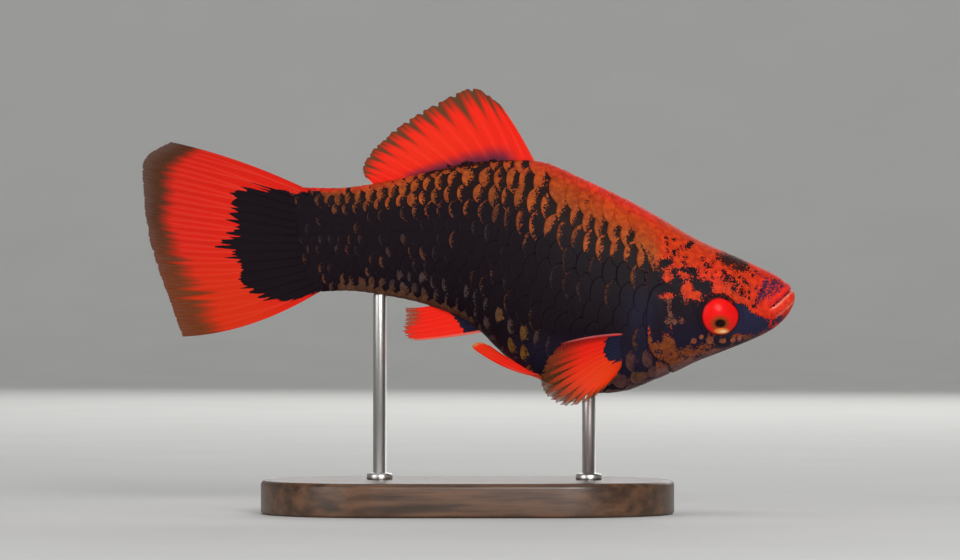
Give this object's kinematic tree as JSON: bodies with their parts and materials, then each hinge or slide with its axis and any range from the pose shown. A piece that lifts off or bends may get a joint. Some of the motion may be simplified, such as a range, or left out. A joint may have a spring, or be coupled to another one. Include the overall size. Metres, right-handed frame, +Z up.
{
  "type": "swordtail fish",
  "caption": "Life-size still model of a red and black swordtail fish, head, jaw, gill covers, body and ridged fins, on a plain base with two rods.",
  "frame": {"origin": "centre of the whole model's plan, on the plane that the base stands on", "axes": "+X towards the fish's snout, +Y towards its left side, +Z up"},
  "size_m": [0.099, 0.036, 0.0638],
  "materials": {
    "red_skin": "satin gloss, orange red with dark specks",
    "dark_skin": "satin gloss, purplish black with orange scale edges",
    "fin": "thin, red, clearing to brown at the edge",
    "eye": "glossy, red iris and black pupil",
    "base_wood": "dark walnut, satin oil",
    "rod_steel": "brushed"
  },
  "bodies": {
    "root": {"head": "red_skin", "jaw_lower": "red_skin", "gill_cover_right": "red_skin", "gill_cover_left": "red_skin", "eye_right": "eye", "eye_left": "eye", "trunk": "dark_skin", "tail_stalk": "dark_skin", "fin_dorsal": "fin", "fin_caudal": "fin", "fin_anal": "fin", "fin_pelvic_right": "fin", "fin_pelvic_left": "fin", "fin_pectoral_right": "fin", "fin_pectoral_left": "fin", "stand_base": "base_wood", "stand_rod_front": "rod_steel", "stand_rod_rear": "rod_steel"}
  },
  "joints": []
}
